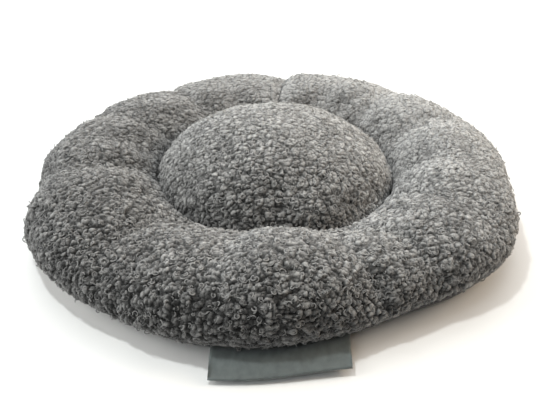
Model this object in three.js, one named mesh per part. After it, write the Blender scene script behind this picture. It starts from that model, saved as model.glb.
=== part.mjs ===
// A round pet bed of curly fleece: a stuffed rim, a stuffed domed pad inside it, a base cloth and a folded tab.
// Millimetres, +Z up. The origin is the middle of the underside, on the floor, and -Y is the side with the tab.
// An azimuth is in degrees, anticlockwise from +X as seen from above.
import * as THREE from "three";
import { mergeVertices } from "three/addons/utils/BufferGeometryUtils.js";

// Clearances and cloth
const GAP = 0.5; // between two pieces that touch
const MERGE_WITHIN = 1e-3; // points closer than this are one point
const BASE_CLOTH = 2; // thickness of the base cloth
const TAB_CLOTH = 1.1; // thickness of one layer of the tab
const TAB_SPACE = 0.8; // between the tab's two layers

// Steps round the bed and along a section
const RIM_STEPS = 120;
const PAD_STEPS = 60;
const OUTSIDE_STEPS = 22;
const DOME_STEPS = 12;
const TAB_STEPS = 16;
const TAB_FOLD_STEPS = 5;

// The rim and the base cloth
const SEAM_INSET = 9; // the outer seam lies this far inside the widest line
const LIP = 26; // the base cloth's outer band, which turns up to the seam
const CROWN_SHARE = 0.47; // where the crown is, as a share of the way from the crease to the widest line
const CREASE_HEIGHT = 33; // where the rim and the pad stop touching
const CORE = { out: 0.5, up: 0.45 }; // the middle of the filling, which the gathers pull towards
const GATHER_FADE = 0.2; // share of the way across over which a gather comes and goes
const GATHER_HELD = 3; // steps next to a seam that a gather doesn't reach in full

// The pad
const DOME_HEIGHT = 88;
const DOME_FLATNESS = 2.4; // 2 is a parabola, and more is flatter in the middle
const DOME_FULLNESS = 0.86; // 1 is plain, and less is fuller at the shoulder
const PAD_SIDE_STEPS = 4;

// The rim's section, a row for each point. out and inward are shares of the way from the crown to the widest line
// and to the crease, and up is a share of the way up from the outer seam or the crease to the crown.
const OUTER_SIDE = [
  { out: 0.89, up: 0 },
  { out: 0.98, up: 0.15 },
  { out: 1, up: 0.31 },
  { out: 0.89, up: 0.6 },
  { out: 0.67, up: 0.82 },
  { out: 0.38, up: 0.95 },
  { out: 0, up: 1 },
];
const INNER_SIDE = [
  { inward: 0.4, up: 0.93 },
  { inward: 0.72, up: 0.66 },
  { inward: 0.94, up: 0.35 },
  { inward: 1, up: 0 },
];

// The base cloth's outer band, from where it leaves the floor to the outer seam
const LIP_LINE = [
  { out: 0, up: 0 },
  { out: 0.55, up: 0.09 },
  { out: 0.86, up: 0.36 },
  { out: 1, up: 1 },
];

// The pad's side, from its foot to the crease
const PAD_SIDE = [
  { inset: 7, up: 0 },
  { inset: 1.5, up: 0.27 },
  { inset: 0, up: 1 },
];

// One row for each section round the bed. reach is the widest radius, crown the rim's height, crease the radius
// where the rim meets the pad, and seam the height of the outer seam.
const SECTIONS = [
  { azimuth: 0, reach: 251, crown: 71, crease: 127, seam: 14 },
  { azimuth: 15, reach: 254, crown: 70, crease: 127, seam: 13 },
  { azimuth: 30, reach: 253, crown: 69, crease: 126, seam: 13 },
  { azimuth: 45, reach: 247, crown: 67, crease: 127, seam: 12 },
  { azimuth: 60, reach: 248, crown: 66, crease: 128, seam: 13 },
  { azimuth: 75, reach: 253, crown: 63, crease: 127, seam: 13 },
  { azimuth: 90, reach: 245, crown: 57, crease: 125, seam: 12 },
  { azimuth: 105, reach: 253, crown: 58, crease: 126, seam: 13 },
  { azimuth: 120, reach: 247, crown: 56, crease: 127, seam: 12 },
  { azimuth: 135, reach: 245, crown: 56, crease: 127, seam: 13 },
  { azimuth: 150, reach: 249, crown: 59, crease: 127, seam: 13 },
  { azimuth: 165, reach: 246, crown: 62, crease: 127, seam: 12 },
  { azimuth: 180, reach: 250, crown: 64, crease: 127, seam: 12 },
  { azimuth: 195, reach: 250, crown: 65, crease: 127, seam: 12 },
  { azimuth: 210, reach: 261, crown: 64, crease: 128, seam: 13 },
  { azimuth: 225, reach: 261, crown: 58, crease: 130, seam: 13 },
  { azimuth: 240, reach: 256, crown: 53, crease: 131, seam: 13 },
  { azimuth: 255, reach: 255, crown: 60, crease: 130, seam: 13 },
  { azimuth: 270, reach: 249, crown: 67, crease: 127, seam: 13 },
  { azimuth: 285, reach: 241, crown: 62, crease: 128, seam: 14 },
  { azimuth: 300, reach: 237, crown: 56, crease: 130, seam: 16 },
  { azimuth: 315, reach: 248, crown: 60, crease: 129, seam: 17 },
  { azimuth: 330, reach: 257, crown: 66, crease: 127, seam: 16 },
  { azimuth: 345, reach: 251, crown: 70, crease: 127, seam: 15 },
];

// Troughs across the rim, where the fleece is gathered. slant turns a trough's outer end. It and width are in
// degrees, and from and to are shares of the way from the crease to the outer seam.
const GATHERS = [
  { azimuth: 90, slant: -5, depth: 11, width: 3, from: 0, to: 1 }, // the seam that closes the rim's strip
  { azimuth: 68, slant: 3, depth: 3, width: 6, from: 0, to: 0.6 },
  { azimuth: 45, slant: 4, depth: 4.5, width: 6, from: 0, to: 0.7 },
  { azimuth: 20, slant: 0, depth: 3.5, width: 6, from: 0, to: 0.6 },
  { azimuth: 352, slant: -4, depth: 4, width: 6, from: 0, to: 0.6 },
  { azimuth: 328, slant: 3, depth: 3.5, width: 5, from: 0.2, to: 0.7 },
  { azimuth: 303, slant: 5, depth: 4, width: 4, from: 0.3, to: 0.8 },
  { azimuth: 288, slant: 3, depth: 4, width: 4.5, from: 0, to: 0.8 },
  { azimuth: 258, slant: -3, depth: 3.5, width: 6, from: 0, to: 0.7 },
  { azimuth: 233, slant: -6, depth: 4, width: 6, from: 0, to: 0.7 },
  { azimuth: 197, slant: -4, depth: 5, width: 6, from: 0, to: 0.7 },
  { azimuth: 178, slant: 0, depth: 3, width: 5, from: 0.1, to: 0.6 },
  { azimuth: 160, slant: -3, depth: 5, width: 5, from: 0, to: 0.65 },
  { azimuth: 128, slant: 2, depth: 4.5, width: 5, from: 0, to: 0.7 },
  { azimuth: 110, slant: 0, depth: 2.5, width: 5, from: 0, to: 0.6 },
];

// Shallow dents in the pad's top: where each is, how deep and how wide
const DENTS = [
  { azimuth: 335, radius: 62, depth: 4, width: 26 },
  { azimuth: 215, radius: 70, depth: 3, width: 30 },
  { azimuth: 275, radius: 92, depth: 2.5, width: 18 },
];

// The tab: a strip folded double, its ends sewn in under the rim. facing is the way that it lies, fold how high the
// fold's middle is over the floor, and bend the radius of the edge that the strip follows. Its fold is straighter
// than that edge, so it is longer by left and right at its two sides.
const TAB = { azimuth: 272.35, facing: 270, width: 113.5, length: 26.5, left: 2, right: 6.5, fold: 4.2, bend: 244 };

const FLEECE = new THREE.MeshStandardMaterial({ color: 0x777775, roughness: 1, metalness: 0 });
const BASE = new THREE.MeshStandardMaterial({ color: 0x3f4142, roughness: 0.9, metalness: 0 });
const TAPE = new THREE.MeshStandardMaterial({ color: 0x566061, roughness: 0.7, metalness: 0 });

const radians = THREE.MathUtils.degToRad;

// The columns of SECTIONS at any azimuth, on smooth curves through the rows and round again
const COLUMNS = ["reach", "crown", "crease", "seam"];
const rows = [...SECTIONS, { ...SECTIONS[0], azimuth: 360 }];
const sections = new THREE.CubicInterpolant(
  rows.map((row) => row.azimuth),
  rows.flatMap((row) => COLUMNS.map((column) => row[column])),
  COLUMNS.length,
);
sections.settings = {
  endingStart: THREE.WrapAroundEnding,
  endingEnd: THREE.WrapAroundEnding,
};

function sizesAt(azimuth) {
  const [reach, crown, crease, seam] = sections.evaluate(azimuth);
  return { reach, crown, crease, seam };
}

// A bell-shaped share: 1 at no distance, and near 0 past two widths
function bell(distance, width) {
  return Math.exp(-((distance / width) ** 2));
}

// How much the gathers pull a point of the rim in. across is 0 at the crease and 1 at the outer seam.
function gatherDepth(azimuth, across) {
  let depth = 0;
  for (const gather of GATHERS) {
    const { from, to } = gather;
    const middle = gather.azimuth + gather.slant * across;
    const away = THREE.MathUtils.euclideanModulo(azimuth - middle + 180, 360) - 180;
    const begins = THREE.MathUtils.smoothstep(across, from - GATHER_FADE, from + GATHER_FADE);
    const ends = 1 - THREE.MathUtils.smoothstep(across, to - GATHER_FADE, to + GATHER_FADE);
    depth += gather.depth * bell(away, gather.width) * begins * ends;
  }
  return depth;
}

// The line of the base cloth's outer band, moved in by an offset
function lipLine(reach, seam, offset) {
  const edge = reach - SEAM_INSET - offset;
  const foot = reach - SEAM_INSET - LIP;
  return LIP_LINE.map(({ out, up }) => new THREE.Vector2(
    foot + out * (edge - foot),
    offset + up * (seam - offset),
  ));
}

// The rim's outside from the outer seam over the crown to the crease, before the gathers
function outsideLine({ reach, crown, crease, seam }) {
  const wall = crease + GAP / 2;
  const top = wall + CROWN_SHARE * (reach - wall);
  const bottom = seam + GAP;
  const outer = OUTER_SIDE.map(({ out, up }) => new THREE.Vector2(
    top + out * (reach - top),
    bottom + up * (crown - bottom),
  ));
  const inner = INNER_SIDE.map(({ inward, up }) => new THREE.Vector2(
    top - inward * (top - wall),
    CREASE_HEIGHT + up * (crown - CREASE_HEIGHT),
  ));
  return new THREE.SplineCurve([...outer, ...inner]).getPoints(OUTSIDE_STEPS);
}

function rimSection(azimuth) {
  const sizes = sizesAt(azimuth);
  const { reach, crown, crease, seam } = sizes;
  const floor = BASE_CLOTH + GAP;
  const core = new THREE.Vector2(crease + CORE.out * (reach - crease), CORE.up * crown);
  const outside = outsideLine(sizes).map((point, index) => {
    const across = 1 - index / OUTSIDE_STEPS;
    const held = Math.min(1, index / GATHER_HELD, (OUTSIDE_STEPS - index) / GATHER_HELD);
    const pull = gatherDepth(azimuth, across) * held;
    return point.clone().add(core.clone().sub(point).setLength(pull));
  });
  const inner = new THREE.Vector2(crease + GAP / 2, floor);
  return [inner, ...lipLine(reach, seam, floor), ...outside, inner.clone()];
}

// The height of the pad's top over the crease, with its dents
function domeHeight(azimuth, share, crease) {
  const x = share * crease * Math.cos(radians(azimuth));
  const y = share * crease * Math.sin(radians(azimuth));
  const rise = (1 - share ** DOME_FLATNESS) ** DOME_FULLNESS;
  let height = CREASE_HEIGHT + rise * (DOME_HEIGHT - CREASE_HEIGHT);
  for (const dent of DENTS) {
    const away = Math.hypot(
      x - dent.radius * Math.cos(radians(dent.azimuth)),
      y - dent.radius * Math.sin(radians(dent.azimuth)),
    );
    height -= dent.depth * bell(away, dent.width);
  }
  return height;
}

function padSection(azimuth) {
  const crease = sizesAt(azimuth).crease - GAP / 2;
  const floor = BASE_CLOTH + GAP;
  const side = PAD_SIDE.map(({ inset, up }) => new THREE.Vector2(
    crease - inset,
    floor + up * (CREASE_HEIGHT - floor),
  ));
  const dome = [];
  for (let step = 1; step <= DOME_STEPS; step += 1) {
    const share = step < DOME_STEPS ? Math.cos((Math.PI / 2) * (step / DOME_STEPS)) : 0;
    dome.push(new THREE.Vector2(share * crease, domeHeight(azimuth, share, crease)));
  }
  return [
    new THREE.Vector2(0, floor),
    ...new THREE.SplineCurve(side).getPoints(PAD_SIDE_STEPS),
    ...dome,
  ];
}

function baseSection(azimuth) {
  const { reach, seam } = sizesAt(azimuth);
  const under = lipLine(reach, seam, 0);
  const over = lipLine(reach, seam, BASE_CLOTH).reverse();
  return [new THREE.Vector2(0, 0), ...under, ...over, new THREE.Vector2(0, BASE_CLOTH)];
}

// A lathe whose section changes on its way round: each column of its points takes the section at that azimuth
function changingLathe(sectionAt, steps) {
  const rows = sectionAt(0).length;
  const lathe = new THREE.LatheGeometry(sectionAt(0), steps);
  const points = lathe.getAttribute("position");
  for (let column = 0; column <= steps; column += 1) {
    const azimuth = (360 * (column % steps)) / steps;
    const [cos, sin] = [Math.cos(radians(azimuth)), Math.sin(radians(azimuth))];
    sectionAt(azimuth).forEach(({ x: radius, y: height }, row) => {
      points.setXYZ(column * rows + row, radius * cos, radius * sin, height);
    });
  }
  return finished(lathe);
}

// The geometry with its shared points merged and its normals worked out again
function finished(geometry) {
  geometry.deleteAttribute("normal");
  geometry.deleteAttribute("uv");
  const merged = mergeVertices(geometry, MERGE_WITHIN);
  merged.computeVertexNormals();
  return merged;
}

// The outline of the folded strip seen from its side: x runs out from the seam, y is up
function tabOutline() {
  const half = TAB_CLOTH + TAB_SPACE / 2;
  const straight = TAB.length - half;
  const shape = new THREE.Shape();
  shape.moveTo(0, -half);
  shape.lineTo(straight, -half);
  shape.absarc(straight, 0, half, -Math.PI / 2, Math.PI / 2, false);
  shape.lineTo(0, half);
  shape.lineTo(0, TAB_SPACE / 2);
  shape.lineTo(straight, TAB_SPACE / 2);
  shape.absarc(straight, 0, TAB_SPACE / 2, Math.PI / 2, -Math.PI / 2, true);
  shape.lineTo(0, -TAB_SPACE / 2);
  shape.closePath();
  return shape;
}

// The folded strip, bent round the bed's edge and sloping down to its fold
function tabGeometry() {
  const strip = new THREE.ExtrudeGeometry(tabOutline(), {
    depth: TAB.width,
    steps: TAB_STEPS,
    curveSegments: TAB_FOLD_STEPS,
    bevelEnabled: false,
  });
  const points = strip.getAttribute("position");
  for (let index = 0; index < points.count; index += 1) {
    const along = 0.5 - points.getZ(index) / TAB.width;
    const out = points.getX(index);
    const up = points.getY(index);
    const azimuth = TAB.azimuth + THREE.MathUtils.radToDeg((along * TAB.width) / TAB.bend);
    const { reach, seam } = sizesAt(azimuth);
    const rootHeight = seam - GAP - TAB_CLOTH - TAB_SPACE / 2;
    const length = TAB.length + (along > 0 ? TAB.right : TAB.left) * (2 * along) ** 2;
    const drop = Math.asin((rootHeight - TAB.fold) / length);
    const root = reach - SEAM_INSET + GAP;
    const ahead = (out * length) / TAB.length;
    const forward = ahead * Math.cos(drop) + up * Math.sin(drop);
    points.setXYZ(
      index,
      root * Math.cos(radians(azimuth)) + forward * Math.cos(radians(TAB.facing)),
      root * Math.sin(radians(azimuth)) + forward * Math.sin(radians(TAB.facing)),
      rootHeight - ahead * Math.sin(drop) + up * Math.cos(drop),
    );
  }
  return finished(strip);
}

function piece(name, geometry, material) {
  const mesh = new THREE.Mesh(geometry, material);
  mesh.name = name;
  return mesh;
}

const bed = new THREE.Group();
bed.add(
  piece("rim", changingLathe(rimSection, RIM_STEPS), FLEECE),
  piece("centre_pad", changingLathe(padSection, PAD_STEPS), FLEECE),
  piece("base_cloth", changingLathe(baseSection, RIM_STEPS), BASE),
  piece("tab", tabGeometry(), TAPE),
);

export default bed;
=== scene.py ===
"""A round pet bed of curly fleece: its stuffed rim and pad, their pile, the base cloth and the tab."""
import itertools
import math
from collections import namedtuple

import bpy
import numpy as np
from bpy.props import FloatProperty, FloatVectorProperty, IntProperty, PointerProperty
from mathutils import Matrix, Vector


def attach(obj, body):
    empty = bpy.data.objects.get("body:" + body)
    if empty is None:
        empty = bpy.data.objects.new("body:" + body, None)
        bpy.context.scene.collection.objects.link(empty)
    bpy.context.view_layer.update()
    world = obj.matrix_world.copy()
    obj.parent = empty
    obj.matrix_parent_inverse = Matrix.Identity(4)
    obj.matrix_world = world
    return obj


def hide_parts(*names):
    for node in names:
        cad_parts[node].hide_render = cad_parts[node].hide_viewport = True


bl_info = {
    "name": "Round fleece pet bed",
    "version": (1, 0, 0),
    "blender": (4, 5, 0),
    "location": "View3D > Sidebar > Pet Bed",
    "description": "Builds a round pet bed of curly fleece around its packed frame",
    "category": "Object",
}

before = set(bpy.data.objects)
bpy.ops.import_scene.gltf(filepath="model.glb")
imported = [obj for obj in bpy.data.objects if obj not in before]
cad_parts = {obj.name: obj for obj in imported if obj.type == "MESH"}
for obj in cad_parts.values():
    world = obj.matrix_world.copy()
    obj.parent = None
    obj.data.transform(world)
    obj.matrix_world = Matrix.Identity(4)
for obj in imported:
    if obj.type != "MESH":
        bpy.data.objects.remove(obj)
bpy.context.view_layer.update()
BODY = "root"
MM = 0.001

# The bed's radius, across which its tone and its relief change
BED_RADIUS = 0.25

# The crease between the rim and the pad, and the outer seam round the rim's foot
CREASE_RADIUS = 0.127
CREASE_HEIGHT = 0.033
OUTER_SEAM_RADIUS = 0.245
OUTER_SEAM_HEIGHT = 0.014

# The rim's closing seam: its azimuth at the crease and at the outer seam in degrees, how deep and how
# wide it pinches the cloth, how far the dip round it is filled up, and how far out from the seam
SEAM_INSIDE = 90
SEAM_OUTSIDE = 85
SEAM_PINCH = 3.0 * MM
SEAM_WIDTH = 2.0 * MM
SEAM_FILL = 5.5 * MM
SEAM_REACH = 15 * MM

# Where sewing holds the cloth against the filling: up from the outer seam, up from the crease and out
# from it, and how firmly and how far from it the closing seam holds. A pair is where the hold fades and
# where it ends.
HELD_ABOVE_SEAM = 10 * MM
HELD_ABOVE_CREASE = 8 * MM
HELD_PAST_CREASE = (3 * MM, 12 * MM)
CLOSING_HOLD = 0.6
CLOSING_REACH = (1 * MM, 8 * MM)

# The filling's simulation: its frames and how much the cloth may grow, and how it is smoothed after that
FRAMES = 20
CLOTH_GROWTH = 0.03
SMOOTH_STRENGTH = 0.5
SMOOTH_STEPS = 3

# Where the pile begins and where it is full, as heights from the crease's and from the outer seam's, and
# the radius up to which the crease counts
PILE_AT_CREASE = (-10 * MM, -6 * MM)
PILE_AT_SEAM = (-3 * MM, 1 * MM)
INNER_FACE = CREASE_RADIUS + 25 * MM
LEAST_PILE = 0.02

# Where the base cloth shows below the pile, in degrees, and how much higher the pile ends there
Lift = namedtuple("Lift", "azimuth width")
LIFTS = (Lift(228, 16), Lift(312, 14))
LIFT_HEIGHT = 5 * MM

# The ground that the pile stands on: the height and the size of its soft lumps, how much deeper the
# stuffed piece itself lies, and the share of its faces that it keeps
GROUND_LUMPS = 0.7 * MM
GROUND_LUMP_SIZE = 45 * MM
GROUND_SINK = 1.5 * MM
GROUND_DETAIL = 0.2

# The tufts of the pile, and the loose clusters that they stand in: their size, how high they stand over
# the gaps between them, how wide a gap is as a share of the size, and the waves that make their outlines
# uneven
Tufts = namedtuple("Tufts", "size depth gap wave shift")
CLUSTERS = Tufts(10.0 * MM, 1.5 * MM, 0.13, 18 * MM, 1.6 * MM)
TUFTS = Tufts(3.9 * MM, 2.6 * MM, 0.17, 4.6 * MM, 0.9 * MM)

# A tuft's own form: the share of its height that is a dome, the dome's radius in tuft sizes and how far
# it bulges over the gap. Its number decides whether it has an eye, which is a small hollow: about half of
# the tufts have.
DOME_SHARE = 0.5
DOME_RADIUS = 0.95
BULGE = 0.24
EYE_DEPTH = 0.6 * MM
EYE_WIDTH = 0.7 * MM
EYE_STEP = 0.25
EYE_FROM = 0.12

# How much the tufts differ in height and in lightness, and how much deeper their relief gets away from the
# side where the fleece is flattest; the same relief paints the gaps lighter on that side and darker away
# from it
UNEVEN = 0.9 * MM
SHADE_CHANGE = 0.12
RELIEF_CHANGE = 0.55
FLAT_SIDE = (0.55, 0.84)

# The share of the tips' height, for the colour, at the edge of a tuft and of a cluster, and what an eye
# takes off, which paints shade in the gaps and in the eyes
TUFT_EDGE = 0.45
CLUSTER_EDGE = 0.35
EYE_LOSS = 0.25

# How much lower the tufts are along the closing seam, and how much darker, which is painted shade in its
# groove
SEAM_FLATTER = 0.6
SEAM_DARKER = 0.7

# The curls that lie wound up on the tufts, a row for each kind: the turns, the radius and the height at
# the start and the end, and how thick the thread is at both. Sizes are in millimetres.
Curl = namedtuple("Curl", "turns start end low high thick thin")
CURLS = (
    Curl(0.85, 2.30, 0.90, -0.9, 0.35, 0.55, 0.45),
    Curl(0.50, 2.50, 1.90, -0.8, 0.25, 0.60, 0.42),
    Curl(1.10, 2.20, 0.80, -1.1, 0.45, 0.50, 0.42),
    Curl(0.65, 1.90, 1.50, -0.5, 0.30, 0.60, 0.45),
    Curl(0.45, 3.00, 2.20, -0.9, 0.20, 0.55, 0.40),
    Curl(0.75, 2.70, 1.30, -0.9, 0.30, 0.52, 0.42),
)

# A curl's thread: its steps and sides, and where its ends lie between the roots' colour and the tips', the
# lower end painted darker as shade
CURL_STEPS = 7
CURL_SIDES = 3
CURL_ROOT = 0.5
CURL_TIP = 0.76

# How the curls lie: their tilt in degrees, their least and largest size, the share of the tufts that has
# one, how far from a tuft's middle it may be in tuft sizes, the least pile there, and how far the closing
# seam is
CURL_TILT = 24
CURL_SIZES = (0.7, 1.15)
CURLY_SHARE = 0.5
CURL_OFF_MIDDLE = 0.45
CURL_LEAST_PILE = 0.6
CURL_OFF_SEAM = 2 * MM

# Painted light: the fleece is lighter on the side towards this azimuth and darker on the other. A face that
# looks to the front is painted darker as shade, and one that looks to the back lighter as light, up to this
# share of the most.
LIT_SIDE_AZIMUTH = math.radians(-30)
LIGHTEST_BACK = 0.25

# The fleece's colour by height, painted darker deeper in the pile as shade: where it is halfway, its share
# of the tips' colour there, where it is the tips' own, and the height that the ground under the pile counts
# as, which paints the ground dark as shade too
MIDDLE_HEIGHT = 0.4
MIDDLE_COLOUR = 0.4
FULL_HEIGHT = 0.9
GROUND_HEIGHT = 0.12

# The weave of the cloths: the wave texture's scale for threads a metre apart, and the threads' share of
# the tone
WAVE_SCALE = 0.314
WEAVE_TONE = 0.35

# The tab from its root in the seam to its fold: how far out from the middle both are, how much it bows up
# between them, and the height, the size and the layout of its slight lumps
TAB_ROOT = 0.240
TAB_FOLD = 0.267
TAB_BOW = 2.4 * MM
TAB_LUMPS = 0.25 * MM
TAB_LUMP_SIZE = 14 * MM
TAB_LAYOUT = 3

# The soft lights round the bed: which way they are and how high above the floor, in degrees, how far and
# how wide in metres, their power in watts and their colour
Light = namedtuple("Light", "name azimuth rise distance width power colour")
LIGHTS = (
    Light("lamp", 168, 72, 1.8, 0.12, 12.0, (0.95, 1.0, 1.0)),
    Light("left", 182, 27, 1.6, 0.90, 17.0, (1.0, 1.0, 0.97)),
    Light("back", 115, 45, 1.6, 1.2, 9.0, (0.95, 0.97, 1.0)),
    Light("back_right", 50, 45, 1.5, 1.1, 9.5, (0.90, 0.96, 1.0)),
    Light("right", 8, 30, 1.6, 0.8, 15.0, (1.0, 0.83, 0.65)),
    Light("front_left", 236, 36, 1.6, 1.2, 7.0, (0.97, 1.0, 1.0)),
    Light("above", 90, 80, 1.6, 1.0, 5.0, (1.0, 0.98, 0.95)),
)
FLOOR_COLOUR = (0.86, 0.855, 0.845, 1)
SKY_COLOUR = (0.97, 0.98, 1.0, 1)

# The photograph's camera: a focal length as a share of the picture's width, its place in metres and its
# turns in degrees
FOCAL_SHARE = 600 / 549
SENSOR_WIDTH = 36.0
CAMERA_BACK = 0.5689
CAMERA_HEIGHT = 0.3611
CAMERA_PITCH = 33.58
CAMERA_ROLL = 1.52


class FleeceSettings(bpy.types.PropertyGroup):
    """Sizes and colours of the fleece."""

    pile: FloatProperty(name="Pile", description="Height of the pile", default=3.5 * MM, unit="LENGTH")
    voxel: FloatProperty(name="Voxel", description="Grid of the stuffed pieces", default=5.0 * MM,
                         unit="LENGTH")
    puff: FloatProperty(name="Puff", description="Most that the filling pushes the cloth", default=3.5 * MM,
                        unit="LENGTH")
    pressure: FloatProperty(name="Pressure", description="Pressure of the filling", default=4.0)
    seed: IntProperty(name="Seed", description="Which of the random layouts", default=7)
    # Painted light: how much lighter one side of the bed is painted
    painted_side_light: FloatProperty(name="Nap", description="How much lighter the side is that the pile lies towards",
                       default=0.22)
    # Painted shade on faces that look to the front, painted light on those that look to the back
    painted_front_shade: FloatProperty(name="Lie", description="How much darker faces are that look to the front",
                       default=0.55)
    # Painted light: the pad's fleece is the rim's, painted lighter where its top catches more light
    pad: FloatProperty(name="Pad", description="How light the pad is next to the rim", default=1.2)
    tip: FloatVectorProperty(name="Tips", description="Colour of the curls' tops", size=3, subtype="COLOR",
                             default=(0.45, 0.445, 0.433))
    # Roots: near black, painted shade deep between the curls
    root: FloatVectorProperty(name="Roots", description="Colour between the curls", size=3, subtype="COLOR",
                              default=(0.016, 0.016, 0.0155))


class ClothSettings(bpy.types.PropertyGroup):
    """Sizes and colours of the base cloth and the tab."""

    base: FloatVectorProperty(name="Base cloth", description="Colour of the base cloth", size=3,
                              subtype="COLOR", default=(0.050, 0.053, 0.056))
    tab: FloatVectorProperty(name="Tab", description="Colour of the tab", size=3, subtype="COLOR",
                             default=(0.145, 0.166, 0.164))
    weave: FloatProperty(name="Weave", description="Distance between threads", default=0.7 * MM,
                         unit="LENGTH")


class StageSettings(bpy.types.PropertyGroup):
    """The floor and the lights."""

    floor: FloatProperty(name="Floor", description="Width of the floor", default=12.0, unit="LENGTH")
    brightness: FloatProperty(name="Brightness", description="Strength of all the lights", default=1.0)
    sky: FloatProperty(name="Sky", description="Strength of the light from all round", default=0.01)


def settings(name):
    return getattr(bpy.context.scene, name)


def only(*objects):
    """Selects these objects alone, and makes the first one active."""
    if bpy.context.object and bpy.context.object.mode != "OBJECT":
        bpy.ops.object.mode_set(mode="OBJECT")
    bpy.ops.object.select_all(action="DESELECT")
    for each in objects:
        each.select_set(True)
    bpy.context.view_layer.objects.active = objects[0]


def points_of(piece):
    """The places of a mesh's points, in metres."""
    places = np.zeros(len(piece.data.vertices) * 3)
    piece.data.vertices.foreach_get("co", places)
    return places.reshape(-1, 3)


def set_points(piece, places):
    piece.data.vertices.foreach_set("co", places.ravel())
    piece.data.update()


def normals_of(piece):
    normals = np.zeros(len(piece.data.vertices) * 3)
    piece.data.vertex_normals.foreach_get("vector", normals)
    return normals.reshape(-1, 3)


def corners_of(piece):
    """The points of each face of a mesh of four-sided faces."""
    corners = np.zeros(len(piece.data.loops), dtype=np.int32)
    piece.data.loops.foreach_get("vertex_index", corners)
    return corners.reshape(-1, 4)


def sector_of(places, sectors):
    """Which of the sectors round the bed each point is in, counted from 0."""
    azimuth = np.arctan2(places[:, 1], places[:, 0])
    return np.floor((azimuth + math.pi) / (2 * math.pi) * sectors).astype(int)


def apply_modifiers(piece):
    only(piece)
    for modifier in list(piece.modifiers):
        bpy.ops.object.modifier_apply(modifier=modifier.name)


def copy_of_node(node, name):
    """A copy of a CAD node with its loose triangles joined, to be shaped further."""
    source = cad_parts[node]
    piece = bpy.data.objects.new(name, source.data.copy())
    bpy.context.scene.collection.objects.link(piece)
    piece.data.name = name
    piece.data.materials.clear()
    only(piece)
    bpy.ops.object.mode_set(mode="EDIT")
    bpy.ops.mesh.select_all(action="SELECT")
    bpy.ops.mesh.remove_doubles(threshold=1e-5)
    bpy.ops.mesh.customdata_custom_splitnormals_clear()
    bpy.ops.object.mode_set(mode="OBJECT")
    bpy.ops.object.shade_smooth()
    return piece


def smooth_step(value, low, high):
    share = np.clip((value - low) / (high - low), 0, 1)
    return share * share * (3 - 2 * share)


def seam_distance(places):
    """How far each point is from the rim's closing seam, in metres."""
    radius = np.hypot(places[:, 0], places[:, 1])
    across = np.clip((radius - CREASE_RADIUS) / (OUTER_SEAM_RADIUS - CREASE_RADIUS), 0, 1)
    middle = np.radians(SEAM_INSIDE + (SEAM_OUTSIDE - SEAM_INSIDE) * across)
    azimuth = np.arctan2(places[:, 1], places[:, 0])
    return np.abs(azimuth - middle) * radius


def held_points(places, is_rim):
    """1 where a stuffed piece is sewn or lies on something, and 0 where the filling can push it out."""
    radius = np.hypot(places[:, 0], places[:, 1])
    height = places[:, 2]
    foot = 1 - smooth_step(height, OUTER_SEAM_HEIGHT, OUTER_SEAM_HEIGHT + HELD_ABOVE_SEAM)
    low = 1 - smooth_step(height, CREASE_HEIGHT, CREASE_HEIGHT + HELD_ABOVE_CREASE)
    if not is_rim:
        return np.maximum(foot, low)
    fades, ends = HELD_PAST_CREASE
    inside = 1 - smooth_step(radius, CREASE_RADIUS + fades, CREASE_RADIUS + ends)
    closing = CLOSING_HOLD * (1 - smooth_step(seam_distance(places), *CLOSING_REACH))
    return np.maximum(np.maximum(foot, inside * low), closing)


def stuff(piece, is_rim):
    """Blows the cloth out with its filling, between the places where it is sewn."""
    fleece = settings("bed_fleece")
    piece.data.remesh_voxel_size = fleece.voxel
    only(piece)
    bpy.ops.object.voxel_remesh()
    before = points_of(piece)
    held = held_points(before, is_rim)
    group = piece.vertex_groups.new(name="held")
    for index, weight in enumerate(held):
        group.add([index], float(weight), "REPLACE")
    cloth = piece.modifiers.new("Cloth", "CLOTH")
    cloth.settings.vertex_group_mass = "held"
    cloth.settings.use_pressure = True
    cloth.settings.uniform_pressure_force = fleece.pressure
    cloth.settings.effector_weights.gravity = 0
    cloth.settings.quality = 5
    cloth.settings.shrink_min = -CLOTH_GROWTH
    for number in range(1, FRAMES + 1):
        bpy.context.scene.frame_set(number)
    apply_modifiers(piece)
    bpy.context.scene.frame_set(1)
    piece.vertex_groups.clear()
    moved = points_of(piece) - before
    far = np.linalg.norm(moved, axis=1, keepdims=True)
    most = fleece.puff * (1 - held)[:, None]
    set_points(piece, before + moved * np.minimum(1, most / np.maximum(far, 1e-9)))
    smooth = piece.modifiers.new("Smooth", "SMOOTH")
    smooth.factor = SMOOTH_STRENGTH
    smooth.iterations = SMOOTH_STEPS
    finer = piece.modifiers.new("Finer", "SUBSURF")
    finer.levels = finer.render_levels = 1
    apply_modifiers(piece)


def pile_share(places, is_rim):
    """How full the pile is: 1 on the outside, and 0 on the underside and in the crease."""
    radius = np.hypot(places[:, 0], places[:, 1])
    height = places[:, 2]
    begins, full = PILE_AT_CREASE
    wall = smooth_step(height, CREASE_HEIGHT + begins, CREASE_HEIGHT + full)
    if not is_rim:
        return wall
    azimuth = np.degrees(np.arctan2(places[:, 1], places[:, 0])) % 360
    lifts = sum(np.exp(-(((azimuth - lift.azimuth) / lift.width) ** 2)) for lift in LIFTS)
    ends = OUTER_SEAM_HEIGHT + LIFT_HEIGHT * lifts
    begins, full = PILE_AT_SEAM
    return np.where(radius < INNER_FACE, wall, smooth_step(height, ends + begins, ends + full))


def lumps(places, size, seed):
    """Smooth uneven lumps of about this size: a few plane waves in directions of their own."""
    random = np.random.default_rng(seed)
    total = np.zeros(len(places))
    count = 14
    for _ in range(count):
        direction = random.normal(size=3)
        direction /= np.linalg.norm(direction)
        pitch = size * random.uniform(0.8, 1.5)
        total += np.sin(places @ direction * 2 * math.pi / pitch + random.uniform(0, 2 * math.pi))
    return total / math.sqrt(count)


Cells = namedtuple("Cells", "first second away number owner")


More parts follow.
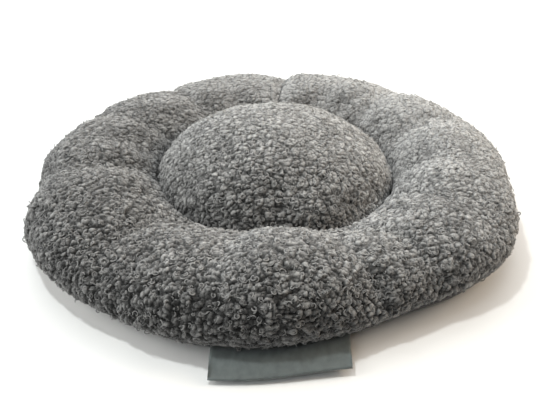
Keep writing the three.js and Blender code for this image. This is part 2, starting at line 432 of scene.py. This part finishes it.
def cells(places, size, seed):
    """Uneven cells of about this size that fill space. For each point, in cell sizes: how far the nearest
    middle is, how far the next one is and which way the point lies from the nearest, and that cell's
    random number and its index."""
    grid = places / size
    low = np.floor(grid.min(axis=0)).astype(int) - 1
    count = np.floor(grid.max(axis=0)).astype(int) - low + 3
    random = np.random.default_rng(seed)
    middles = random.uniform(0.1, 0.9, (*count, 3))
    numbers = random.random(tuple(count))
    own = np.floor(grid).astype(int)
    first = np.full(len(places), np.inf)
    second = np.full(len(places), np.inf)
    away = np.zeros_like(places)
    owner = np.zeros(len(places), dtype=int)
    for step in itertools.product((-1, 0, 1), repeat=3):
        cell = own + step
        index = tuple((cell - low).T)
        offset = grid - cell - middles[index]
        far = np.linalg.norm(offset, axis=1)
        closer = far < first
        second = np.where(closer, first, np.minimum(second, far))
        first = np.where(closer, far, first)
        away[closer] = offset[closer]
        owner[closer] = np.ravel_multi_index(index, tuple(count))[closer]
    return Cells(first, second, away, numbers.ravel()[owner], owner)


def bend(places, size, amount, seed):
    """The places moved about, so that the cells in them get uneven outlines."""
    shift = np.stack([lumps(places, size, seed + axis) for axis in range(3)], axis=1)
    return places + shift * amount


def tufted(places, normals, seed):
    """The pile at each point: how high it stands and how far it bulges sideways in metres, its height as
    a share, and the tuft that it belongs to."""
    loose = cells(bend(places, CLUSTERS.wave, CLUSTERS.shift, seed), CLUSTERS.size, seed)
    clusters = 1 - np.exp(-(((loose.second - loose.first) / CLUSTERS.gap) ** 2))
    tuft = cells(bend(places, TUFTS.wave, TUFTS.shift, seed + 10), TUFTS.size, seed + 11)
    dome = np.sqrt(np.clip(1 - (tuft.first / DOME_RADIUS) ** 2, 0, 1))
    inside = 1 - np.exp(-((tuft.second - tuft.first) / TUFTS.gap))
    across = tuft.away - normals * np.sum(tuft.away * normals, axis=1, keepdims=True)
    radius = np.linalg.norm(across, axis=1) * TUFTS.size
    eye = np.exp(-((radius / EYE_WIDTH) ** 2)) * (tuft.number % EYE_STEP > EYE_FROM)
    flatter = places[:, 0] * FLAT_SIDE[0] + places[:, 1] * FLAT_SIDE[1]
    relief = 1 + RELIEF_CHANGE * np.clip(-flatter / BED_RADIUS, -1, 1)
    form = DOME_SHARE * dome + (1 - DOME_SHARE) * inside
    height = CLUSTERS.depth * clusters + TUFTS.depth * relief * form
    height += UNEVEN * (tuft.number - 0.5) * inside - EYE_DEPTH * eye
    bulge = across * (BULGE * TUFTS.size * inside)[:, None]
    # The colour's share: painted shade in the gaps, at the tufts' and clusters' edges and in the eyes
    share = inside * (TUFT_EDGE + (1 - TUFT_EDGE) * dome) * (CLUSTER_EDGE + (1 - CLUSTER_EDGE) * clusters)
    # Painted light and shade: the gaps get lighter on the flattest side and darker away from it
    share = np.clip(share - EYE_LOSS * eye, 0, 1) ** (relief * relief)
    return height, bulge, share, tuft


def curl_kind(number, curl):
    """One kind of curl, wound round the origin: its points, its faces and each point's height as a share."""
    profile = bpy.data.curves.new("profile", "CURVE")
    corners = profile.splines.new("POLY")
    corners.points.add(CURL_SIDES - 1)
    corners.use_cyclic_u = True
    for side, corner in enumerate(corners.points):
        turn = 2 * math.pi * side / CURL_SIDES
        corner.co = (math.cos(turn) * MM, math.sin(turn) * MM, 0, 1)
    outline = bpy.data.objects.new("profile", profile)
    bpy.context.scene.collection.objects.link(outline)
    line = bpy.data.curves.new("curl", "CURVE")
    line.dimensions = "3D"
    line.bevel_mode = "OBJECT"
    line.bevel_object = outline
    line.use_fill_caps = True
    spline = line.splines.new("POLY")
    spline.points.add(CURL_STEPS)
    for step, point in enumerate(spline.points):
        share = step / CURL_STEPS
        turn = 2 * math.pi * (curl.turns * share + number / len(CURLS))
        radius = curl.start + (curl.end - curl.start) * share
        height = curl.low + (curl.high - curl.low) * share
        point.co = (radius * math.cos(turn) * MM, radius * math.sin(turn) * MM, height * MM, 1)
        point.radius = curl.thick + (curl.thin - curl.thick) * share
    piece = bpy.data.objects.new("curl", line)
    bpy.context.scene.collection.objects.link(piece)
    only(piece)
    bpy.ops.object.convert(target="MESH")
    piece.data.calc_loop_triangles()
    places = points_of(piece)
    faces = np.array([triangle.vertices[:] for triangle in piece.data.loop_triangles])
    share = (places[:, 2] - places[:, 2].min()) / np.ptp(places[:, 2])
    bpy.data.objects.remove(piece)
    bpy.data.objects.remove(outline)
    return places, faces, share


def join_curls(kinds, which, hand, axes, places, shade):
    """These curls as one mesh: its points, its faces, and each point's height as a share and its shade."""
    points = []
    faces = []
    heights = []
    shades = []
    count = 0
    for index, (shape, triangles, share) in enumerate(kinds):
        for flip in (-1, 1):
            these = np.flatnonzero((which == index) & (hand == flip))
            moved = np.einsum("pi,nij->npj", shape, axes[these]) + places[these][:, None, :]
            turned = triangles if flip == 1 else triangles[:, ::-1]
            starts = count + len(shape) * np.arange(len(these))
            points.append(moved.reshape(-1, 3))
            faces.append((turned[None] + starts[:, None, None]).reshape(-1, 3))
            heights.append(np.tile(share, len(these)))
            shades.append(np.repeat(shade[these], len(shape)))
            count += len(shape) * len(these)
    return [np.concatenate(each) for each in (points, faces, heights, shades)]


def wind_curls(name, places, normals, shade, sectors, material):
    """A curl on each of these places, a little tilted from its normal, joined into one piece a sector."""
    random = np.random.default_rng(settings("bed_fleece").seed + 5)
    kinds = [curl_kind(index, curl) for index, curl in enumerate(CURLS)]
    which = random.integers(len(kinds), size=len(places))
    sector = sector_of(places, sectors)
    up = normals + random.normal(scale=math.radians(CURL_TILT), size=normals.shape)
    up /= np.linalg.norm(up, axis=1, keepdims=True)
    ahead = np.cross(up, random.normal(size=normals.shape))
    ahead /= np.linalg.norm(ahead, axis=1, keepdims=True)
    side = np.cross(ahead, up)
    hand = random.choice((-1, 1), size=(len(places), 1))
    size = random.uniform(*CURL_SIZES, size=(len(places), 1))
    axes = np.stack([side * hand, ahead, up], axis=1) * size[:, :, None]
    for number in range(sectors):
        own = sector == number
        points, faces, heights, shades = join_curls(
            kinds, which[own], hand[own, 0], axes[own], places[own], shade[own]
        )
        mesh = bpy.data.meshes.new(f"{name}_{number + 1}")
        mesh.from_pydata(points, [], faces)
        piece = bpy.data.objects.new(mesh.name, mesh)
        bpy.context.scene.collection.objects.link(piece)
        floats(piece, "tip", CURL_ROOT + (CURL_TIP - CURL_ROOT) * heights)
        floats(piece, "shade", shades)
        mesh.materials.append(material)
        only(piece)
        bpy.ops.object.shade_smooth()
        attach(piece, BODY)


def floats(piece, name, values):
    attribute = piece.data.attributes.new(name, "FLOAT", "POINT")
    attribute.data.foreach_set("value", values.astype(np.float32))


def lay_ground(piece, is_rim, deeper):
    """Moves the cloth in by the pile's height and this much deeper, pinches the closing seam, and gives
    back how full the pile is at each point."""
    fleece = settings("bed_fleece")
    places = points_of(piece)
    normals = normals_of(piece)
    grows = pile_share(places, is_rim)
    depth = fleece.pile + deeper + GROUND_LUMPS * lumps(places, GROUND_LUMP_SIZE, fleece.seed)
    if is_rim:
        far = seam_distance(places)
        depth += SEAM_PINCH * np.exp(-((far / SEAM_WIDTH) ** 2))
        depth -= SEAM_FILL * np.exp(-((far / SEAM_REACH) ** 2))
    set_points(piece, places - normals * (depth * grows)[:, None])
    return grows


def keep_points(piece, kept):
    """Leaves out the faces that have a point that isn't kept."""
    only(piece)
    bpy.ops.object.mode_set(mode="EDIT")
    bpy.ops.mesh.select_mode(type="VERT")
    bpy.ops.mesh.select_all(action="DESELECT")
    bpy.ops.object.mode_set(mode="OBJECT")
    piece.data.vertices.foreach_set("select", ~kept)
    bpy.ops.object.mode_set(mode="EDIT")
    bpy.ops.mesh.delete(type="VERT")
    bpy.ops.object.mode_set(mode="OBJECT")


def cut_sectors(whole, name, sector, sectors):
    """Makes a piece of each sector of the pile, and removes the whole."""
    faces = corners_of(whole)
    for number in range(sectors):
        part = bpy.data.objects.new(f"{name}_{number + 1}", whole.data.copy())
        bpy.context.scene.collection.objects.link(part)
        if sectors > 1:
            near = np.zeros(len(sector), dtype=bool)
            inside = (sector[faces] == number).any(axis=1)
            near[np.unique(faces[inside])] = True
            keep_points(part, near)
        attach(part, BODY)
    bpy.data.objects.remove(whole)


def grow_pile(stuffed, name, is_rim, sectors, material):
    """The pile on a stuffed piece: its tufts as one surface, and the curls wound up on them. Each point
    keeps its height as a share in the attribute tip, and how light it is in the attribute shade."""
    fleece = settings("bed_fleece")
    whole = bpy.data.objects.new(name, stuffed.data.copy())
    bpy.context.scene.collection.objects.link(whole)
    keep_points(whole, pile_share(points_of(whole), is_rim) > LEAST_PILE)
    finer = whole.modifiers.new("Finer", "SUBSURF")
    finer.levels = finer.render_levels = 1
    apply_modifiers(whole)
    grows = lay_ground(whole, is_rim, 0)
    places = points_of(whole)
    normals = normals_of(whole)
    height, bulge, share, tuft = tufted(places, normals, fleece.seed)
    # A random tone for each tuft, with painted shade on faces to the front and painted light on faces to the
    # back
    shade = 1 + SHADE_CHANGE * (tuft.number - 0.5) + fleece.painted_front_shade * np.clip(normals[:, 1], -1, LIGHTEST_BACK)
    seam = seam_distance(places) if is_rim else np.ones(len(places))
    flat = np.exp(-((seam / SEAM_WIDTH) ** 2))
    height *= 1 - SEAM_FLATTER * flat
    # Painted shade along the closing seam
    share *= 1 - SEAM_DARKER * flat
    raised = places + (normals * height[:, None] + bulge) * grows[:, None]
    set_points(whole, raised)
    floats(whole, "tip", share)
    floats(whole, "shade", shade)
    whole.data.materials.append(material)
    only(whole)
    bpy.ops.object.shade_smooth()
    cut_sectors(whole, name, sector_of(places, sectors), sectors)

    order = np.lexsort((tuft.first, tuft.owner))
    _, begins = np.unique(tuft.owner[order], return_index=True)
    middles = order[begins]
    random = np.random.default_rng(fleece.seed + 4)
    curly = random.random(len(middles)) < CURLY_SHARE
    curly &= tuft.first[middles] < CURL_OFF_MIDDLE
    curly &= grows[middles] > CURL_LEAST_PILE
    curly &= seam[middles] > CURL_OFF_SEAM
    middles = middles[curly]
    wind_curls(f"{name}_curls", raised[middles], normals[middles], shade[middles], sectors, material)


def link(tree, start, end):
    tree.links.new(start, end)


def new_material(name):
    material = bpy.data.materials.new(name)
    material.use_nodes = True
    shader = material.node_tree.nodes["Principled BSDF"]
    return material, material.node_tree, shader


def noise(tree, place, scale, detail, distortion=0.0):
    texture = tree.nodes.new("ShaderNodeTexNoise")
    texture.inputs["Scale"].default_value = scale
    texture.inputs["Detail"].default_value = detail
    texture.inputs["Distortion"].default_value = distortion
    link(tree, place, texture.inputs["Vector"])
    return texture.outputs["Fac"]


def spread(tree, value, low, high, darkest, lightest):
    """Turns a value between low and high into a lightness between these two."""
    node = tree.nodes.new("ShaderNodeMapRange")
    node.inputs["From Min"].default_value = low
    node.inputs["From Max"].default_value = high
    node.inputs["To Min"].default_value = darkest
    node.inputs["To Max"].default_value = lightest
    link(tree, value, node.inputs["Value"])
    return node.outputs["Result"]


def product(tree, first, second):
    node = tree.nodes.new("ShaderNodeMath")
    node.operation = "MULTIPLY"
    link(tree, first, node.inputs[0])
    link(tree, second, node.inputs[1])
    return node.outputs["Value"]


def attribute(tree, name):
    node = tree.nodes.new("ShaderNodeAttribute")
    node.attribute_name = name
    return node.outputs["Fac"]


def lighten(tree, shader, lightness):
    """Scales the shader's colour by the lightness. Gives back the socket for the plain colour."""
    scaled = tree.nodes.new("ShaderNodeVectorMath")
    scaled.operation = "SCALE"
    link(tree, lightness, scaled.inputs["Scale"])
    link(tree, scaled.outputs["Vector"], shader.inputs["Base Color"])
    return scaled.inputs[0]


def raise_bump(tree, shader, height, strength, distance):
    bump = tree.nodes.new("ShaderNodeBump")
    bump.inputs["Strength"].default_value = strength
    bump.inputs["Distance"].default_value = distance
    link(tree, height, bump.inputs["Height"])
    link(tree, bump.outputs["Normal"], shader.inputs["Normal"])


def fleece_material(name, is_pile, lightness):
    """Matt curly fleece with fine fibres, lighter on the curls' tops and painted dark between them as shade.
    """
    fleece = settings("bed_fleece")
    material, tree, shader = new_material(name)
    shader.inputs["Roughness"].default_value = 0.95
    shader.inputs["Specular IOR Level"].default_value = 0.12
    shader.inputs["Sheen Weight"].default_value = 0.8
    shader.inputs["Sheen Roughness"].default_value = 0.45
    shader.inputs["Sheen Tint"].default_value = (0.8, 0.8, 0.8, 1)
    place = tree.nodes.new("ShaderNodeTexCoord").outputs["Object"]

    patches = noise(tree, place, scale=26, detail=3)
    value = spread(tree, patches, low=0.3, high=0.7, darkest=0.88, lightest=1.08)
    depth = tree.nodes.new("ShaderNodeValToRGB")
    depth.color_ramp.elements[0].color = (*fleece.root, 1)
    depth.color_ramp.elements[1].color = (*fleece.tip, 1)
    depth.color_ramp.elements[1].position = FULL_HEIGHT
    middle = depth.color_ramp.elements.new(MIDDLE_HEIGHT)
    middle.color = (*(MIDDLE_COLOUR * np.array(fleece.tip)), 1)
    if is_pile:
        link(tree, attribute(tree, "tip"), depth.inputs["Fac"])
        value = product(tree, value, attribute(tree, "shade"))
    else:
        depth.inputs["Fac"].default_value = GROUND_HEIGHT

    # Painted light: lighter on one side of the bed, darker on the other
    along = tree.nodes.new("ShaderNodeVectorMath")
    along.operation = "DOT_PRODUCT"
    along.inputs[1].default_value = (math.cos(LIT_SIDE_AZIMUTH), math.sin(LIT_SIDE_AZIMUTH), 0)
    link(tree, place, along.inputs[0])
    dark = (1 - fleece.painted_side_light) * lightness
    light = (1 + fleece.painted_side_light) * lightness
    value = product(tree, value, spread(tree, along.outputs["Value"], -BED_RADIUS, BED_RADIUS, dark, light))

    fibres = noise(tree, place, scale=750, detail=5, distortion=2.0)
    fuzz = spread(tree, fibres, low=0.3, high=0.7, darkest=0.72, lightest=1.26)
    value = product(tree, value, fuzz)
    link(tree, depth.outputs["Color"], lighten(tree, shader, value))
    raise_bump(tree, shader, fibres, strength=0.9, distance=0.8 * MM)
    return material


def cloth_material(name, colour, roughness, sheen):
    """Plain woven cloth: threads over and under each other, with an uneven tone."""
    cloth = settings("bed_cloth")
    material, tree, shader = new_material(name)
    shader.inputs["Roughness"].default_value = roughness
    shader.inputs["Specular IOR Level"].default_value = 0.25
    shader.inputs["Sheen Weight"].default_value = sheen
    shader.inputs["Sheen Roughness"].default_value = 0.4
    place = tree.nodes.new("ShaderNodeTexCoord").outputs["Object"]
    waves = []
    for direction in ("X", "Y"):
        wave = tree.nodes.new("ShaderNodeTexWave")
        wave.bands_direction = direction
        wave.inputs["Scale"].default_value = WAVE_SCALE / cloth.weave
        wave.inputs["Distortion"].default_value = 0.6
        wave.inputs["Detail"].default_value = 1
        link(tree, place, wave.inputs["Vector"])
        waves.append(wave.outputs["Fac"])
    weave = product(tree, *waves)
    tone = tree.nodes.new("ShaderNodeMath")
    tone.operation = "MULTIPLY_ADD"
    tone.inputs[1].default_value = WEAVE_TONE
    link(tree, weave, tone.inputs[0])
    link(tree, noise(tree, place, scale=150, detail=6), tone.inputs[2])
    value = spread(tree, tone.outputs["Value"], low=0.3, high=1.1, darkest=0.75, lightest=1.3)
    lighten(tree, shader, value).default_value = colour
    raise_bump(tree, shader, weave, strength=0.5, distance=0.2 * MM)
    return material


def finish_stuffed(node, name, is_rim, pile, sectors):
    """A stuffed piece with its pile, in place of its CAD node."""
    piece = copy_of_node(node, name)
    stuff(piece, is_rim)
    # Painted light: the pad is painted lighter than the rim
    lightness = 1 if is_rim else settings("bed_fleece").pad
    grow_pile(piece, pile, is_rim, sectors, fleece_material(pile, is_pile=True, lightness=lightness))
    coarser = piece.modifiers.new("Coarser", "DECIMATE")
    coarser.ratio = GROUND_DETAIL
    apply_modifiers(piece)
    lay_ground(piece, is_rim, GROUND_SINK)
    piece.data.materials.append(fleece_material(name, is_pile=False, lightness=lightness))
    only(piece)
    bpy.ops.object.shade_smooth()
    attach(piece, BODY)
    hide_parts(node)


class BED_OT_rim(bpy.types.Operator):
    """Make the stuffed rim and its pile"""

    bl_idname = "bed.rim"
    bl_label = "Rim"

    def execute(self, context):
        finish_stuffed("rim", "rim_fleece", is_rim=True, pile="rim_pile", sectors=3)
        return {"FINISHED"}


class BED_OT_pad(bpy.types.Operator):
    """Make the stuffed centre pad and its pile"""

    bl_idname = "bed.pad"
    bl_label = "Centre pad"

    def execute(self, context):
        finish_stuffed("centre_pad", "pad_fleece", is_rim=False, pile="pad_pile", sectors=1)
        return {"FINISHED"}


class BED_OT_base(bpy.types.Operator):
    """Give the base cloth its finish"""

    bl_idname = "bed.base"
    bl_label = "Base cloth"

    def execute(self, context):
        cloth = settings("bed_cloth")
        piece = copy_of_node("base_cloth", "base_panel")
        material = cloth_material("base_cloth", tuple(cloth.base), roughness=0.9, sheen=0.2)
        piece.data.materials.append(material)
        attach(piece, BODY)
        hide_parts("base_cloth")
        return {"FINISHED"}


def bow_tab(piece):
    """Bows the tab up between its root and its fold, and makes it a little uneven towards the fold."""
    finer = piece.modifiers.new("Finer", "SUBSURF")
    finer.subdivision_type = "SIMPLE"
    finer.levels = finer.render_levels = 1
    apply_modifiers(piece)
    places = points_of(piece)
    out = -places[:, 1]
    along = np.clip((out - TAB_ROOT) / (TAB_FOLD - TAB_ROOT), 0, 1)
    uneven = TAB_LUMPS * smooth_step(out, TAB_ROOT, TAB_FOLD) * lumps(places, TAB_LUMP_SIZE, TAB_LAYOUT)
    places[:, 2] += TAB_BOW * np.sin(math.pi * along) + uneven
    set_points(piece, places)


class BED_OT_tab(bpy.types.Operator):
    """Make the folded tab"""

    bl_idname = "bed.tab"
    bl_label = "Tab"

    def execute(self, context):
        cloth = settings("bed_cloth")
        piece = copy_of_node("tab", "tab_tape")
        bow_tab(piece)
        material = cloth_material("tab_cloth", tuple(cloth.tab), roughness=0.75, sheen=0.3)
        piece.data.materials.append(material)
        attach(piece, BODY)
        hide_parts("tab")
        return {"FINISHED"}


def add_light(light, brightness):
    azimuth = math.radians(light.azimuth)
    rise = math.radians(light.rise)
    way = Vector((math.cos(rise) * math.cos(azimuth), math.cos(rise) * math.sin(azimuth), math.sin(rise)))
    turn = (-way).to_track_quat("-Z", "Y").to_euler()
    bpy.ops.object.light_add(type="AREA", location=way * light.distance, rotation=turn)
    lamp = bpy.context.object
    lamp.name = light.name
    lamp.data.size = light.width
    lamp.data.energy = light.power * brightness
    lamp.data.color = light.colour
    lamp.visible_camera = False


class BED_OT_stage(bpy.types.Operator):
    """Make the floor, the lights and the camera"""

    bl_idname = "bed.stage"
    bl_label = "Stage"

    def execute(self, context):
        stage = settings("bed_stage")
        bpy.ops.object.select_all(action="DESELECT")
        bpy.ops.mesh.primitive_plane_add(size=stage.floor)
        floor = context.object
        floor.name = "floor"
        material, _, shader = new_material("floor")
        shader.inputs["Base Color"].default_value = FLOOR_COLOUR
        shader.inputs["Roughness"].default_value = 0.6
        floor.data.materials.append(material)
        for light in LIGHTS:
            add_light(light, stage.brightness)
        world = bpy.data.worlds.new("sky")
        world.use_nodes = True
        background = world.node_tree.nodes["Background"]
        background.inputs["Color"].default_value = SKY_COLOUR
        background.inputs["Strength"].default_value = stage.sky
        context.scene.world = world
        place_camera(context.scene)
        context.scene.view_settings.view_transform = "Standard"
        return {"FINISHED"}


def place_camera(scene):
    """The camera at the photograph's place, turned as it was."""
    turn = Matrix.Rotation(math.radians(90 - CAMERA_PITCH), 4, "X") @ Matrix.Rotation(
        math.radians(CAMERA_ROLL), 4, "Z"
    )
    bpy.ops.object.camera_add(location=(0, -CAMERA_BACK, CAMERA_HEIGHT), rotation=turn.to_euler())
    camera = bpy.context.object
    camera.data.sensor_width = SENSOR_WIDTH
    camera.data.lens = FOCAL_SHARE * SENSOR_WIDTH
    camera.data.clip_start = 0.01
    scene.camera = camera


class BED_PT_panel(bpy.types.Panel):
    """Pet bed"""

    bl_label = "Pet Bed"
    bl_idname = "BED_PT_panel"
    bl_space_type = "VIEW_3D"
    bl_region_type = "UI"
    bl_category = "Pet Bed"

    def draw(self, context):
        for group in ("bed_fleece", "bed_cloth", "bed_stage"):
            box = self.layout.box()
            values = getattr(context.scene, group)
            for key in values.bl_rna.properties.keys():
                if key not in ("rna_type", "name"):
                    box.prop(values, key)
        for operator in OPERATORS:
            self.layout.operator(operator.bl_idname)


OPERATORS = (BED_OT_rim, BED_OT_pad, BED_OT_base, BED_OT_tab, BED_OT_stage)
CLASSES = (FleeceSettings, ClothSettings, StageSettings, *OPERATORS, BED_PT_panel)
GROUPS = {"bed_fleece": FleeceSettings, "bed_cloth": ClothSettings, "bed_stage": StageSettings}


def register():
    for each in CLASSES:
        bpy.utils.register_class(each)
    for name, group in GROUPS.items():
        setattr(bpy.types.Scene, name, PointerProperty(type=group))


def unregister():
    for name in GROUPS:
        delattr(bpy.types.Scene, name)
    for each in reversed(CLASSES):
        bpy.utils.unregister_class(each)


def main():
    register()
    bpy.ops.bed.stage()
    bpy.ops.bed.rim()
    bpy.ops.bed.pad()
    bpy.ops.bed.base()
    bpy.ops.bed.tab()


if __name__ == "__main__":
    main()
